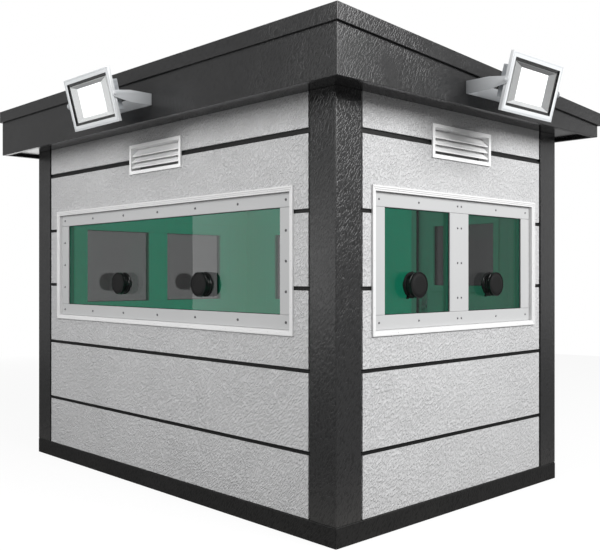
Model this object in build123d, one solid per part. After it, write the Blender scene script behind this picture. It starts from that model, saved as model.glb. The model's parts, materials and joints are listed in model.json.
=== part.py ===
# A free-standing security guard booth: a steel base, four corner posts, boarded walls with thick
# glazing and round ports, a shallow mono-pitch roof with deep fascias, and two tilting floodlights.
# All lengths are in millimetres. X runs along the long front wall (its outer face looks to -Y),
# +Z is up, and the origin is the plan centre of the booth on the ground.
import os
from math import atan, cos, radians, sin, tan

from build123d import *

# Overall form
booth_length = 3000.0
booth_width = 2000.0
soffit_height = 2173.0
wall_thickness = 80.0
seam = 0.4
overcut = 20.0

# Base and floor
base_height = 102.0
base_bevel = 5.0
ledge_width = 40.0
deck_thickness = 22.0
joist_width = 60.0
joist_spacing = 750.0

# Corner posts
post_flange = 175.0
post_bevel = 4.0

# Wall boards and the core panels behind them
board_setback = 3.0
board_thickness = 12.0
board_side_gap = 14.0
groove_width = 28.0
groove_drops = (1749.0, 1352.0, 951.0, 573.0, 189.0)

# Windows
window_bottom = 982.0
window_drop = 448.0
front_window_margin = 117.0
side_window_margin = 78.0
back_window_margin = 157.0
back_window_pier = 175.0
moulding_width = 27.0
moulding_proud = 8.0
moulding_step = 3.0
flange_lap = 15.0
clamp_side_width = 91.0
clamp_end_height = 74.0
clamp_depth = 18.0
clamp_thickness = 10.0
clamp_bevel = 2.0
glass_thickness = 36.0
glass_edge_gap = 1.0
mullion_width = 174.0
pane_joint = 6.0

# Round ports in the glass
port_height = 1232.0
port_radius = 69.5
port_hole_radius = 40.0
port_reach = 56.0
port_flange_thickness = 7.0
port_neck_radius = 62.0
port_cap_radius = 68.5
port_cap_length = 26.0
port_nut_radius = 43.0
port_nut_thickness = 4.0
port_fit = 0.3
front_port_places = (-373.0, 466.0)
side_port_places = (-408.0, 298.0)
port_screw_radius = 8.0
port_screw_sink = 2.0
port_screw_length = 12.0
port_screw_angle = 240.0

# Louvred wall vents
vent_length = 540.0
vent_height = 180.0
vent_drop = 88.0
vent_border = 20.0
vent_proud = 7.0
vent_shell = 3.0
louvre_drops = (53.0, 88.0, 123.0)
louvre_rises = (42.0, 32.0, 32.0)
louvre_setback = 1.0
louvre_thickness = 2.5
louvre_lip = 7.0

# Roof
roof_rise = 298.0
roof_slope = 3.95
roof_sheet = 26.0
cap_depth = 79.0
cap_thickness = 15.0
eaves_overhang = 188.0
fascia_thickness = 30.0
fascia_drop = 18.0
soffit_thickness = 20.0

# Door in the back wall
door_width = 780.0
door_margin = 88.0
door_lintel = 79.0
door_thickness = 48.0
door_gap = 6.0
door_seal_gap = 5.0
jamb_thickness = 26.0
door_stop = 18.0
threshold_height = 8.0
door_pane_width = 490.0
door_pane_bottom = 1212.0
door_pane_height = 418.0
door_pane_rebate = 12.0
door_glass_thickness = 28.0
door_trim_width = 42.0
door_trim_proud = 6.0
hinge_inset = 243.0
hinge_length = 110.0
hinge_flap_width = 38.0
hinge_flap_thickness = 5.0
knuckle_radius = 9.0
hinge_pin_radius = 5.0
hinge_offset = 10.0
hinge_fit = 0.3

# Door furniture
handle_inset = 62.0
handle_height = 1060.0
handle_length = 300.0
handle_radius = 11.0
handle_reach = 52.0
standoff_radius = 8.0
standoff_inset = 20.0
lock_plate_width = 46.0
lock_plate_height = 190.0
lock_plate_thickness = 4.0
thumb_turn_radius = 15.0
thumb_turn_reach = 20.0

# Floodlights
lamp_width = 482.0
lamp_height = 295.0
lamp_tilt = 15.0
lamp_pivot_reach = 232.0
lamp_face_setback = 9.0
front_lamp_rise = 94.0
side_lamp_rise = 76.0
side_lamp_shift = 18.0
bezel_width = 28.0
bezel_depth = 18.0
bezel_lip = 4.0
lens_thickness = 4.0
lens_lap = 6.0
gasket_gap = 8.0
lamp_body_depth = 12.0
lamp_body_inset = 18.0
lamp_wall = 6.0
channel_width = 8.0
tray_rim = 3.0
tray_dish = 4.0
led_width = 256.0
led_height = 162.0
led_thickness = 4.0
fin_block_width = 404.0
fin_block_height = 164.0
fin_base = 10.0
fin_length = 30.0
fin_thickness = 5.0
fin_count = 13
yoke_thickness = 4.0
yoke_clearance = 5.0
yoke_width = 66.0
yoke_taper = 95.0
yoke_end_radius = 19.0
pivot_pin_radius = 5.0
pivot_pin_grip = 12.0
pivot_pin_gap = 1.0
pivot_fit = 0.3
bolt_head_radius = 9.0
bolt_head_height = 5.0

# Places that follow from the values above, those on the back wall as seen from outside
hex_side_count = 6
wall_base = base_height
wall_top = soffit_height
core_front = board_setback + board_thickness
glass_front = clamp_depth + clamp_thickness
glass_back = glass_front + glass_thickness
window_top = soffit_height - window_drop
window_height = window_top - window_bottom
vent_middle = soffit_height - vent_drop - vent_height / 2
roof_front_top = soffit_height + roof_rise
frame_left = -booth_length / 2 + post_flange + door_margin
door_left = frame_left + jamb_thickness + door_gap
door_right = door_left + door_width
door_centre = (door_left + door_right) / 2
frame_right = door_right + door_gap + jamb_thickness
back_window_left = frame_right + back_window_pier
back_window_right = booth_length / 2 - post_flange - back_window_margin
door_bottom = wall_base + threshold_height + door_gap
frame_top = soffit_height - door_lintel
door_top = frame_top - jamb_thickness - door_gap
hinge_heights = (door_bottom + hinge_inset, (door_bottom + door_top) / 2, door_top - hinge_inset)


def block(x0, x1, y0, y1, z0, z1):
    centre = Pos((x0 + x1) / 2, (y0 + y1) / 2, (z0 + z1) / 2)
    return centre * Box(x1 - x0, y1 - y0, z1 - z0)


def prism(points, z0, z1):
    face = make_face(Polyline(*points, close=True))
    return Pos(0, 0, z0) * extrude(face, z1 - z0, dir=(0, 0, 1))


def side_prism(points, x0, x1):
    # points are (y, z) of an outline, drawn out along X from x0 to x1
    face = make_face(Polyline(*[(0, y, z) for y, z in points], close=True))
    return Pos(x0, 0, 0) * extrude(face, x1 - x0, dir=(1, 0, 0))


def on_wall(side):
    # A wall's own frame: x along the wall seen from outside, y inwards from the post face, z up
    places = {
        "front": Pos(0, -booth_width / 2, 0),
        "right": Pos(booth_length / 2, 0, 0) * Rot(0, 0, 90),
        "back": Pos(0, booth_width / 2, 0) * Rot(0, 0, 180),
        "left": Pos(-booth_length / 2, 0, 0) * Rot(0, 0, 270),
    }
    return places[side]


def wall_length(side):
    return booth_length if side in ("front", "back") else booth_width


def panel_reach(side):
    # Half the clear length between the corner posts
    return wall_length(side) / 2 - post_flange


def solids_of(shapes):
    found = []
    for shape in shapes:
        found.extend(shape.solids())
    return found


def save(name, shapes):
    export_step(Compound(children=solids_of(shapes)), f"parts/{name}.step")


def cut_all(shapes, tools):
    left = []
    for shape in shapes:
        for tool in tools:
            shape = shape - tool
        left.append(shape)
    return left


def mitred(ring, half_x, half_z, centre_x, centre_z, depth):
    # Saws an upright rectangular ring into four bars, with a fine joint at each corner
    reach = 2 * min(half_x, half_z)
    for sign_x in (-1, 1):
        for sign_z in (-1, 1):
            saw = Box(reach, depth, seam)
            corner = Pos(centre_x + sign_x * half_x, 0, centre_z + sign_z * half_z)
            ring = ring - corner * Rot(0, -45 * sign_x * sign_z, 0) * saw
    return ring


def upright_ring(half_x, half_z, inner_x, inner_z, y0, y1):
    outer = block(-half_x, half_x, y0, y1, -half_z, half_z)
    inner = block(-inner_x, inner_x, y0 - overcut, y1 + overcut, -inner_z, inner_z)
    return outer - inner


# Base and floor

def plan_block(inset, z0, z1):
    half_x = booth_length / 2 - inset
    half_y = booth_width / 2 - inset
    return block(-half_x, half_x, -half_y, half_y, z0, z1)


def base_rails():
    outer = plan_block(0, 0, base_height)
    outer = chamfer(outer.faces().sort_by(Axis.Z)[-1].edges(), base_bevel)
    ledge_top = base_height - deck_thickness
    ring = outer - plan_block(wall_thickness, ledge_top, base_height + overcut)
    ring = ring - plan_block(wall_thickness + ledge_width, -overcut, base_height)
    saw_length = 3 * (wall_thickness + ledge_width)
    for sign_x in (-1, 1):
        for sign_y in (-1, 1):
            corner = Pos(sign_x * booth_length / 2, sign_y * booth_width / 2, base_height / 2)
            saw = Box(saw_length, seam, 2 * base_height)
            ring = ring - corner * Rot(0, 0, 45 * sign_x * sign_y) * saw
    return ring


def joists():
    reach = booth_width / 2 - wall_thickness - ledge_width - seam
    span = booth_length / 2 - wall_thickness - ledge_width
    count = int((span - joist_width) // joist_spacing)
    places = [index * joist_spacing for index in range(-count, count + 1)]
    half = joist_width / 2
    top = base_height - deck_thickness
    return [block(x - half, x + half, -reach, reach, 0, top) for x in places]


def floor_deck():
    return plan_block(wall_thickness + seam, base_height - deck_thickness, base_height)


# Corner posts

def corner_post(sign_x, sign_y):
    far_x = booth_length / 2
    far_y = booth_width / 2
    near_x = far_x - post_flange
    near_y = far_y - post_flange
    back_x = far_x - wall_thickness
    back_y = far_y - wall_thickness
    outline = [
        (near_x, far_y),
        (far_x - post_bevel, far_y),
        (far_x, far_y - post_bevel),
        (far_x, near_y),
        (back_x, near_y),
        (back_x, back_y),
        (near_x, back_y),
    ]
    points = [(sign_x * x, sign_y * y) for x, y in outline]
    return prism(points, wall_base, wall_top)


# Walls

def window_of(side):
    # Centre and width of the window, along its wall
    if side == "back":
        return (back_window_left + back_window_right) / 2, back_window_right - back_window_left
    margin = front_window_margin if side == "front" else side_window_margin
    return 0.0, 2 * (panel_reach(side) - margin)


def window_hole(side):
    centre, width = window_of(side)
    half = width / 2 - flange_lap
    return centre - half, centre + half, window_bottom + flange_lap, window_top - flange_lap


def vent_hole(side):
    # A vent is centred over its wall's window
    centre = window_of(side)[0]
    half_x = vent_length / 2 - vent_border + vent_shell + port_fit
    half_z = vent_height / 2 - vent_border + vent_shell + port_fit
    low = vent_middle - half_z
    deep = wall_thickness + overcut
    return block(centre - half_x, centre + half_x, -overcut, deep, low, low + 2 * half_z)


def core_panels(side, x0, x1):
    # Panels under, over and beside the window, between two places along the wall
    left, right, low, high = window_hole(side)
    y0 = core_front
    y1 = wall_thickness
    under = block(x0, x1, y0, y1, wall_base, low - seam)
    over = block(x0, x1, y0, y1, high + seam, wall_top) - vent_hole(side)
    pier_left = block(x0, left, y0, y1, low, high)
    pier_right = block(right, x1, y0, y1, low, high)
    return [under, over, pier_left, pier_right]


def door_frame_hole():
    return block(
        frame_left - board_side_gap,
        frame_right + board_side_gap,
        -overcut,
        wall_thickness + overcut,
        wall_base,
        frame_top + board_side_gap,
    )


def wall_boards(side):
    reach = panel_reach(side) - board_side_gap
    grooves = [soffit_height - drop for drop in groove_drops]
    lows = [wall_base] + [height + groove_width / 2 for height in grooves]
    highs = [height - groove_width / 2 for height in grooves] + [wall_top]
    boards = []
    for low, high in zip(lows, highs):
        boards.append(block(-reach, reach, board_setback, core_front, low, high))
    left, right, low, high = window_hole(side)
    tools = [block(left, right, -overcut, wall_thickness, low, high), vent_hole(side)]
    if side == "back":
        tools.append(door_frame_hole())
    return cut_all(boards, tools)


# Windows

def window_frame(side):
    centre, width = window_of(side)
    half_x = width / 2
    half_z = window_height / 2
    inner = moulding_width
    step = moulding_width / 3
    ring = None
    bands = [
        (0, step, -moulding_proud, board_setback),
        (step, 2 * step, -moulding_proud + moulding_step, board_setback),
        (2 * step, inner, -moulding_proud + 2 * moulding_step, board_setback),
        (flange_lap + seam, inner, board_setback, wall_thickness),
    ]
    for outset, inset, y0, y1 in bands:
        band = upright_ring(half_x - outset, half_z - outset, half_x - inset, half_z - inset, y0, y1)
        ring = band if ring is None else ring + band
    lip_x = half_x - inner - clamp_side_width
    lip_z = half_z - inner - clamp_end_height
    lip = upright_ring(half_x - inner, half_z - inner, lip_x, lip_z, glass_back + seam, wall_thickness)
    ring = ring + lip
    bars = solids_of([mitred(ring, half_x, half_z, 0, 0, 3 * wall_thickness)])
    if side in ("left", "right"):
        half_mullion = mullion_width / 2
        reach = lip_z - seam
        bars.append(
            block(-half_mullion, half_mullion, glass_back + seam, wall_thickness, -reach, reach)
        )
    middle = Pos(centre, 0, window_bottom + half_z)
    return [middle * bar for bar in bars]


def bevelled_bar(x0, x1, z0, z1):
    bar = block(x0, x1, clamp_depth, glass_front - seam, z0, z1)
    return chamfer(bar.faces().sort_by(Axis.Y)[0].edges(), clamp_bevel)


def clamp_bars(side):
    centre, width = window_of(side)
    half_x = width / 2 - moulding_width - seam
    low = window_bottom + moulding_width + seam
    high = window_top - moulding_width - seam
    pane_low = low + clamp_end_height
    pane_high = high - clamp_end_height
    bars = [
        bevelled_bar(centre - half_x, centre + half_x, low, pane_low),
        bevelled_bar(centre - half_x, centre + half_x, pane_high, high),
    ]
    low_end = pane_low + seam
    high_end = pane_high - seam
    inner = half_x - clamp_side_width
    bars.append(bevelled_bar(centre - half_x, centre - inner, low_end, high_end))
    bars.append(bevelled_bar(centre + inner, centre + half_x, low_end, high_end))
    if side in ("left", "right"):
        bars.append(bevelled_bar(-mullion_width / 2, mullion_width / 2, low_end, high_end))
    return bars


def port_places(side):
    places = {
        "front": front_port_places,
        "right": side_port_places,
        "left": tuple(-place for place in side_port_places),
        "back": (),
    }
    return places[side]


def window_glass(side):
    centre, width = window_of(side)
    half_x = width / 2 - moulding_width - glass_edge_gap
    low = window_bottom + moulding_width + glass_edge_gap
    high = window_top - moulding_width - glass_edge_gap
    if side in ("left", "right"):
        spans = [(-half_x, -pane_joint / 2), (pane_joint / 2, half_x)]
    else:
        spans = [(centre - half_x, centre + half_x)]
    panes = [block(x0, x1, glass_front, glass_back, low, high) for x0, x1 in spans]
    hole = Cylinder(port_hole_radius + port_fit, 3 * glass_thickness, rotation=(90, 0, 0))
    tools = [Pos(place, glass_front, port_height) * hole for place in port_places(side)]
    return cut_all(panes, tools)


def port_body():
    # Half section of one round port: radius, then height outwards from the glass face
    nut_start = -glass_thickness - port_fit
    nut_end = nut_start - port_nut_thickness
    cap_start = port_reach - port_cap_length
    outline = [
        (0, nut_end),
        (port_nut_radius, nut_end),
        (port_nut_radius, nut_start),
        (port_hole_radius, nut_start),
        (port_hole_radius, port_fit),
        (port_radius, port_fit),
        (port_radius, port_flange_thickness),
        (port_neck_radius, port_flange_thickness),
        (port_neck_radius, cap_start),
        (port_cap_radius, cap_start),
        (port_cap_radius, port_reach),
        (0, port_reach),
    ]
    face = make_face(Polyline(*[(radius, 0, height) for radius, height in outline], close=True))
    return revolve(face, Axis.Z) + port_screw()


def port_screw():
    # Locking screw at the edge of the flange
    angle = radians(port_screw_angle)
    reach = port_radius + port_screw_radius - port_screw_sink
    head = extrude(RegularPolygon(port_screw_radius, hex_side_count), port_screw_length)
    return Pos(reach * cos(angle), reach * sin(angle), port_fit) * head


def round_ports(side):
    body = port_body()
    return [
        on_wall(side) * Pos(place, glass_front, port_height) * Rot(90, 0, 0) * body
        for place in port_places(side)
    ]


# Vents

def louvre(drop, rise):
    half = vent_length / 2 - vent_border
    low = vent_middle + vent_height / 2 - vent_border - drop
    front = louvre_setback
    back = front + louvre_thickness
    outline = [
        (front, low),
        (back, low),
        (back, low + louvre_lip - louvre_thickness / 2),
        (back + rise, low + louvre_lip + rise - louvre_thickness / 2),
        (back + rise, low + louvre_lip + rise + louvre_thickness),
        (front, low + louvre_lip),
    ]
    return side_prism(outline, -half, half)


def wall_vent(side):
    half_x = vent_length / 2
    half_z = vent_height / 2
    inner_x = half_x - vent_border
    inner_z = half_z - vent_border
    middle = Pos(0, 0, vent_middle)
    flange = middle * upright_ring(half_x, half_z, inner_x, inner_z, -vent_proud, board_setback)
    sleeve = middle * upright_ring(
        inner_x + vent_shell, inner_z + vent_shell, inner_x, inner_z, board_setback, wall_thickness
    )
    vent = flange + sleeve
    for drop, rise in zip(louvre_drops, louvre_rises):
        vent = vent + louvre(drop, rise)
    return on_wall(side) * Pos(window_of(side)[0], 0, 0) * vent


# Roof

cap_half_x = booth_length / 2 + eaves_overhang + cap_thickness
cap_half_y = booth_width / 2 + eaves_overhang + cap_thickness
slope_fall = tan(radians(roof_slope))


def roof_layer(half_x, half_y, top_offset, bottom_offset):
    # A sloping layer between two heights below the roof's top face
    front_top = roof_front_top - (cap_half_y - half_y) * slope_fall
    back_top = roof_front_top - (cap_half_y + half_y) * slope_fall
    outline = [
        (-half_y, front_top - top_offset),
        (half_y, back_top - top_offset),
        (half_y, back_top - bottom_offset),
        (-half_y, front_top - bottom_offset),
    ]
    return side_prism(outline, -half_x, half_x)


def roof_cap():
    inner_x = cap_half_x - cap_thickness
    inner_y = cap_half_y - cap_thickness
    cap = roof_layer(cap_half_x, cap_half_y, 0, cap_depth)
    return cap - roof_layer(inner_x, inner_y, roof_sheet, 2 * cap_depth)


def fascia_boards():
    half_x = booth_length / 2 + eaves_overhang
    half_y = booth_width / 2 + eaves_overhang
    inner_x = half_x - fascia_thickness
    inner_y = half_y - fascia_thickness
    low = soffit_height - fascia_drop
    outer = block(-half_x, half_x, -half_y, half_y, low, roof_front_top)
    inner = block(-inner_x, inner_x, -inner_y, inner_y, low - overcut, roof_front_top + overcut)
    ring = outer - inner
    ring = ring - roof_layer(2 * half_x, 2 * half_y, -roof_front_top, roof_sheet)
    for sign_x in (-1, 1):
        for sign_y in (-1, 1):
            saw = Box(6 * fascia_thickness, seam, 2 * roof_front_top)
            ring = ring - Pos(sign_x * half_x, sign_y * half_y, low) * Rot(0, 0, 45 * sign_x * sign_y) * saw
    return ring


def soffit():
    half_x = booth_length / 2 + eaves_overhang - fascia_thickness - seam
    half_y = booth_width / 2 + eaves_overhang - fascia_thickness - seam
    return block(-half_x, half_x, -half_y, half_y, soffit_height, soffit_height + soffit_thickness)


# Door

def hinge_spot(height):
    return Pos(door_left - door_gap / 2, -hinge_offset, height)


def fixed_hinge(height):
    # Lower knuckle with its pin, on a flap over the jamb
    half = hinge_length / 2
    edge = -door_gap / 2 - hinge_flap_width
    flap = block(edge, 0, hinge_offset - hinge_flap_thickness, hinge_offset, -half, -seam)
    knuckle = Pos(0, 0, -half / 2 - seam / 2) * Cylinder(knuckle_radius, half - seam)
    pin = Pos(0, 0, half / 2 - seam) * Cylinder(hinge_pin_radius, half)
    return hinge_spot(height) * (flap + knuckle + pin)


def leaf_hinge(height):
    # Upper knuckle on a flap over the leaf, bored for the pin
    half = hinge_length / 2
    edge = door_gap / 2 + hinge_flap_width
    flap = block(0, edge, hinge_offset - hinge_flap_thickness, hinge_offset, hinge_fit, half)
    knuckle = Pos(0, 0, (half + hinge_fit) / 2) * Cylinder(knuckle_radius, half - hinge_fit)
    bore = Pos(0, 0, half / 2) * Cylinder(hinge_pin_radius + hinge_fit, 2 * half)
    return hinge_spot(height) * (flap + knuckle - bore)


def jamb(outer, inner, stop, z0, z1):
    low, high = sorted((outer, inner))
    post = block(low, high, 0, wall_thickness, z0, z1)
    stop_low, stop_high = sorted((inner, stop))
    strip = block(stop_low, stop_high, door_thickness + door_seal_gap, wall_thickness, z0, z1)
    return post + strip


def door_frame():
    floor = wall_base + threshold_height + seam
    hinge_inner = frame_left + jamb_thickness
    lock_inner = frame_right - jamb_thickness
    hinge_jamb = jamb(frame_left, hinge_inner, hinge_inner + door_stop, floor, frame_top)
    for height in hinge_heights:
        hinge_jamb = hinge_jamb + fixed_hinge(height)
    lock_jamb = jamb(frame_right, lock_inner, lock_inner - door_stop, floor, frame_top)
    low_x = hinge_inner + door_stop + seam
    high_x = lock_inner - door_stop - seam
    head_low = frame_top - jamb_thickness
    stop_depth = door_thickness + door_seal_gap
    head = block(hinge_inner + seam, lock_inner - seam, 0, stop_depth - seam, head_low, frame_top)
    head = head + block(low_x, high_x, 0, wall_thickness, head_low, frame_top)
    head = head + block(low_x, high_x, stop_depth, wall_thickness, head_low - door_stop, frame_top)
    sill = block(frame_left, frame_right, 0, wall_thickness, wall_base, wall_base + threshold_height)
    return [hinge_jamb, lock_jamb, head, sill]


def door_leaf():
    leaf = block(door_left, door_right, 0, door_thickness, door_bottom, door_top)
    half = door_pane_width / 2 + door_pane_rebate
    low = door_pane_bottom - door_pane_rebate
    high = door_pane_bottom + door_pane_height + door_pane_rebate
    left = door_centre - half
    leaf = leaf - block(left, left + 2 * half, -overcut, door_thickness + overcut, low, high)
    for height in hinge_heights:
        leaf = leaf + leaf_hinge(height)
    bore = Cylinder(hinge_pin_radius + hinge_fit, hinge_length, align=(Align.CENTER, Align.CENTER, Align.MIN))
    return cut_all([leaf], [hinge_spot(height) * bore for height in hinge_heights])


def door_pane_middle():
    return Pos(door_centre, 0, door_pane_bottom + door_pane_height / 2)


def door_window_glass():
    half_x = door_pane_width / 2 + door_pane_rebate - glass_edge_gap
    half_z = door_pane_height / 2 + door_pane_rebate - glass_edge_gap
    y0 = (door_thickness - door_glass_thickness) / 2
    y1 = y0 + door_glass_thickness
    return door_pane_middle() * block(-half_x, half_x, y0, y1, -half_z, half_z)


def door_window_frame():
    inner_x = door_pane_width / 2
    inner_z = door_pane_height / 2
    stem_x = inner_x + door_pane_rebate - seam
    stem_z = inner_z + door_pane_rebate - seam
    face_x = inner_x + door_trim_width
    face_z = inner_z + door_trim_width
    glass_gap = (door_thickness - door_glass_thickness) / 2 - seam
    outside = upright_ring(face_x, face_z, inner_x, inner_z, -door_trim_proud, 0)
    outside = outside + upright_ring(stem_x, stem_z, inner_x, inner_z, 0, glass_gap)
    far = door_thickness
    inside = upright_ring(face_x, face_z, inner_x, inner_z, far, far + door_trim_proud)
    inside = inside + upright_ring(stem_x, stem_z, inner_x, inner_z, far - glass_gap, far)
    rings = [mitred(ring, face_x, face_z, 0, 0, 4 * door_thickness) for ring in (outside, inside)]
    return [door_pane_middle() * ring for ring in rings]


def door_handle():
    x = door_right - handle_inset
    middle = Pos(x, 0, handle_height)
    pull = Pos(0, -handle_reach, 0) * Cylinder(handle_radius, handle_length)
    spread = handle_length / 2 - standoff_inset
    for place in (-spread, spread):
        length = handle_reach - lock_plate_thickness / 2
        standoff = Cylinder(standoff_radius, length, rotation=(90, 0, 0))
        pull = pull + Pos(0, -length / 2, place) * standoff
    half = lock_plate_width / 2
    tall = lock_plate_height / 2
    far = door_thickness
    plate = block(-half, half, far, far + lock_plate_thickness, -tall, tall)
    knob = Cylinder(thumb_turn_radius, thumb_turn_reach, rotation=(90, 0, 0))
    turn = plate + Pos(0, far + lock_plate_thickness + thumb_turn_reach / 2, 0) * knob
    return [middle * pull, middle * turn]


# Floodlights, drawn about the pivot: x along the yoke, y towards the fascia, z up

def lamp_frame(side):
    rises = {"front": front_lamp_rise, "right": side_lamp_rise}
    shifts = {"front": 0.0, "right": side_lamp_shift}
    reach = eaves_overhang + lamp_pivot_reach
    return on_wall(side) * Pos(shifts[side], -reach, soffit_height + rises[side])


def lamp_yoke():
    inner = lamp_width / 2 + yoke_clearance
    outer = inner + yoke_thickness
    half = yoke_width / 2
    reach = lamp_pivot_reach
    web = block(-outer, outer, reach - yoke_thickness, reach, -half, half)
    taper_angle = atan((half - yoke_end_radius) / yoke_taper)
    touch_y = -yoke_end_radius * sin(taper_angle)
    touch_z = yoke_end_radius * cos(taper_angle)
    outline = [
        (reach, -half),
        (reach, half),
        (yoke_taper, half),
        (touch_y, touch_z),
        (touch_y, -touch_z),
        (yoke_taper, -half),
    ]
    arm = side_prism(outline, 0, yoke_thickness)
    tip = Pos(yoke_thickness / 2, 0, 0) * Cylinder(yoke_end_radius, yoke_thickness, rotation=(0, 90, 0))
    arm = arm + tip
    yoke = web + Pos(inner, 0, 0) * arm + Pos(-outer, 0, 0) * arm
    for sign in (-1, 1):
        grip = pivot_pin_grip + yoke_clearance
        pin = Cylinder(pivot_pin_radius, grip, rotation=(0, 90, 0))
        head = extrude(RegularPolygon(bolt_head_radius, hex_side_count), bolt_head_height / 2, both=True)
        yoke = yoke + Pos(sign * (inner - grip / 2), 0, 0) * pin
        yoke = yoke + Pos(sign * (outer + bolt_head_height / 2), 0, 0) * Rot(0, 90, 0) * head
    return yoke


def lamp_bezel():
    face = -lamp_face_setback
    half_x = lamp_width / 2
    half_z = lamp_height / 2
    inner_x = half_x - bezel_width
    inner_z = half_z - bezel_width
    ring = upright_ring(half_x, half_z, inner_x, inner_z, face, face + bezel_depth)
    pocket_x = inner_x + lens_lap
    pocket_z = inner_z + lens_lap
    pocket_back = face + bezel_depth + overcut
    ring = ring - block(-pocket_x, pocket_x, face + bezel_lip, pocket_back, -pocket_z, pocket_z)
    length = 2 * (pivot_pin_grip + pivot_pin_gap)
    for sign in (-1, 1):
        hole = Cylinder(pivot_pin_radius + pivot_fit, length, rotation=(0, 90, 0))
        ring = ring - Pos(sign * half_x, 0, 0) * hole
    return ring


def lamp_lens():
    half_x = lamp_width / 2 - bezel_width + lens_lap - seam
    half_z = lamp_height / 2 - bezel_width + lens_lap - seam
    y0 = -lamp_face_setback + bezel_lip + seam
    return block(-half_x, half_x, y0, y0 + lens_thickness, -half_z, half_z)


def frustum(half_x0, half_z0, half_x1, half_z1, y0, y1):
    near = Pos(0, y0, 0) * Rot(90, 0, 0) * Rectangle(2 * half_x0, 2 * half_z0)
    far = Pos(0, y1, 0) * Rot(90, 0, 0) * Rectangle(2 * half_x1, 2 * half_z1)
    return loft([near.face(), far.face()], ruled=True)


def lamp_tray(half_x, half_z, y0, y1):
    # Flat dish round the light panel, with a pocket for the panel
    tray = block(-half_x, half_x, y0, y1, -half_z, half_z)
    pocket_x = led_width / 2 + seam
    pocket_z = led_height / 2 + seam
    floor = y0 + tray_dish
    tray = tray - frustum(half_x - tray_rim, half_z - tray_rim, pocket_x, pocket_z, y0, floor)
    return tray - block(-pocket_x, pocket_x, y0 - overcut, floor + led_thickness, -pocket_z, pocket_z)


def lamp_housing():
    start = -lamp_face_setback + bezel_lip + 2 * seam + lens_thickness
    bezel_back = -lamp_face_setback + bezel_depth
    end = bezel_back + lamp_body_depth
    plug_x = lamp_width / 2 - bezel_width + lens_lap - seam
    plug_z = lamp_height / 2 - bezel_width + lens_lap - seam
    mouth_x = lamp_width / 2 - bezel_width - gasket_gap
    mouth_z = lamp_height / 2 - bezel_width - gasket_gap
    plug = upright_ring(plug_x, plug_z, mouth_x, mouth_z, start, bezel_back)
    body_x = lamp_width / 2 - lamp_body_inset
    body_z = lamp_height / 2 - lamp_body_inset
    body = frustum(body_x, body_z, body_x - lamp_wall, body_z - lamp_wall, bezel_back, end)
    tray = lamp_tray(mouth_x - channel_width, mouth_z - channel_width, start, bezel_back)
    housing = plug + body + tray
    block_x = fin_block_width / 2
    block_z = fin_block_height / 2
    housing = housing + block(-block_x, block_x, end, end + fin_base, -block_z, block_z)
    pitch = (fin_block_width - fin_thickness) / (fin_count - 1)
    for index in range(fin_count):
        x = -block_x + index * pitch
        fin_start = end + fin_base
        housing = housing + block(x, x + fin_thickness, fin_start, fin_start + fin_length, -block_z, block_z)
    return housing


def lamp_led():
    start = -lamp_face_setback + bezel_lip + 2 * seam + lens_thickness + tray_dish
    back = start + led_thickness
    return block(-led_width / 2, led_width / 2, start, back, -led_height / 2, led_height / 2)


def save_lamp(side):
    place = lamp_frame(side)
    tilted = place * Rot(lamp_tilt, 0, 0)
    save(f"{side}_lamp_yoke", [place * lamp_yoke()])
    save(f"{side}_lamp_bezel", [tilted * lamp_bezel()])
    save(f"{side}_lamp_lens", [tilted * lamp_lens()])
    save(f"{side}_lamp_housing", [tilted * lamp_housing()])
    save(f"{side}_lamp_led", [tilted * lamp_led()])


def save_base():
    save("base_frame", [base_rails()] + joists())
    save("floor_deck", [floor_deck()])
    for along, sign_x in (("left", -1), ("right", 1)):
        for across, sign_y in (("front", -1), ("back", 1)):
            save(f"corner_post_{across}_{along}", [corner_post(sign_x, sign_y)])


def save_walls():
    for side in ("front", "right", "left"):
        reach = panel_reach(side) - seam
        panels = core_panels(side, -reach, reach)
        save(f"{side}_wall", [on_wall(side) * panel for panel in panels])
    back = on_wall("back")
    reach = panel_reach("back") - seam
    panels = core_panels("back", frame_right + seam, reach)
    save("back_wall_left", [back * panel for panel in panels])
    strip = block(-reach, frame_left - seam, core_front, wall_thickness, wall_base, wall_top)
    save("back_wall_right", [back * strip])
    lintel = block(frame_left, frame_right, core_front, wall_thickness, frame_top + seam, wall_top)
    save("back_wall_over_door", [back * lintel])


def save_side(side):
    place = on_wall(side)
    save(f"{side}_boards", [place * board for board in wall_boards(side)])
    save(f"{side}_window_frame", [place * bar for bar in window_frame(side)])
    save(f"{side}_clamp_bars", [place * bar for bar in clamp_bars(side)])
    save(f"{side}_window_glass", [place * pane for pane in window_glass(side)])


def save_roof():
    save("roof_cap", [roof_cap()])
    save("fascia_boards", [fascia_boards()])
    save("soffit", [soffit()])


def save_door():
    place = on_wall("back")
    save("door_frame", [place * piece for piece in door_frame()])
    save("door_leaf", [place * piece for piece in door_leaf()])
    save("door_window_glass", [place * door_window_glass()])
    save("door_window_frame", [place * ring for ring in door_window_frame()])
    save("door_handle", [place * piece for piece in door_handle()])


def main():
    os.makedirs("parts", exist_ok=True)
    sides = ("front", "right", "back", "left")
    save_base()
    save_walls()
    for side in sides:
        save_side(side)
    save("round_ports", [port for side in sides for port in round_ports(side)])
    save("wall_vents", [wall_vent(side) for side in sides])
    save_roof()
    save_door()
    save_lamp("front")
    save_lamp("right")


main()
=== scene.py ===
import json
from math import cos, pi, radians, sin

import bmesh
import bpy
from mathutils import Matrix, Vector

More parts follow.
